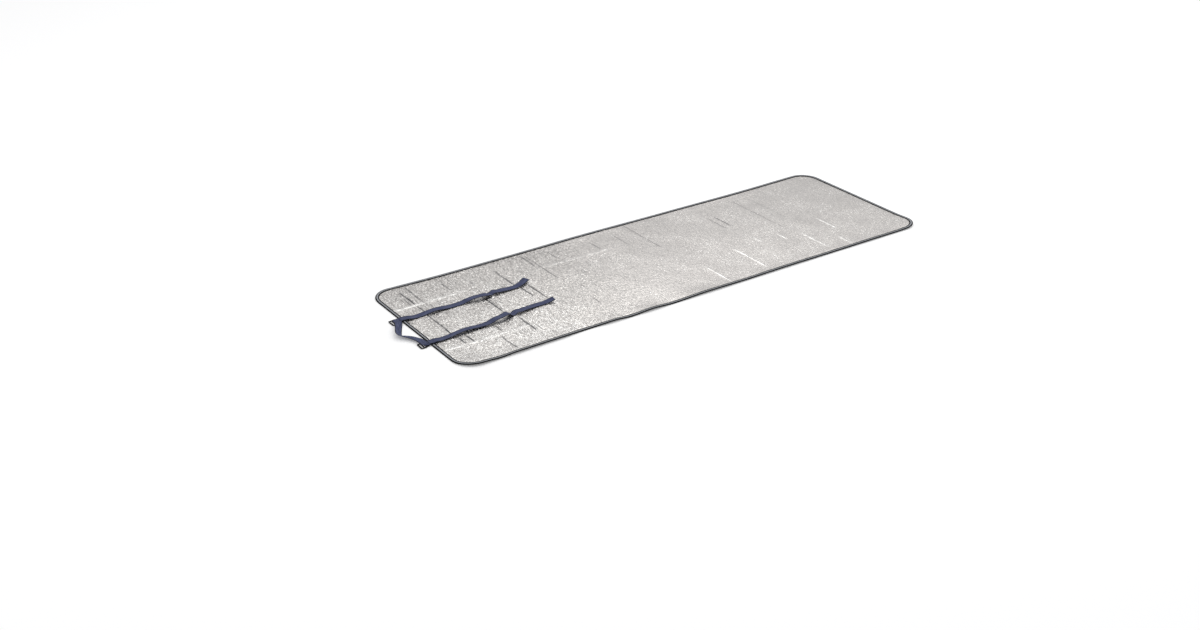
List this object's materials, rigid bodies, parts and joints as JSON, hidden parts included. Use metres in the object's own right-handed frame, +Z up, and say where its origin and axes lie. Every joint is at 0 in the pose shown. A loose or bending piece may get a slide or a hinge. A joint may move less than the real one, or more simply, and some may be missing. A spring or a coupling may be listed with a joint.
{
  "type": "foil sleeping mat",
  "caption": "Thin camping mat of foil-faced foam with a taped edge, webbing straps to tie it when rolled, their buckles and a carrying handle.",
  "frame": {"origin": "on the ground under the middle of the mat's flat underside", "axes": "+X along the mat away from its straps, +Y to its back long edge, +Z up"},
  "size_m": [1.9181, 0.5991, 0.0169],
  "materials": {
    "foil": "metallised film on foam, finely crinkled, half glossy",
    "tape": "woven binding tape, matt",
    "webbing": "woven polypropylene webbing, dark blue",
    "plastic": "moulded black plastic, half glossy"
  },
  "bodies": {
    "root": {"panel": "foil", "binding": "tape", "strap_back": "webbing", "strap_front": "webbing", "handle": "webbing", "loop_back": "webbing", "loop_front": "webbing", "buckle_back": "plastic", "buckle_front": "plastic"}
  },
  "joints": []
}
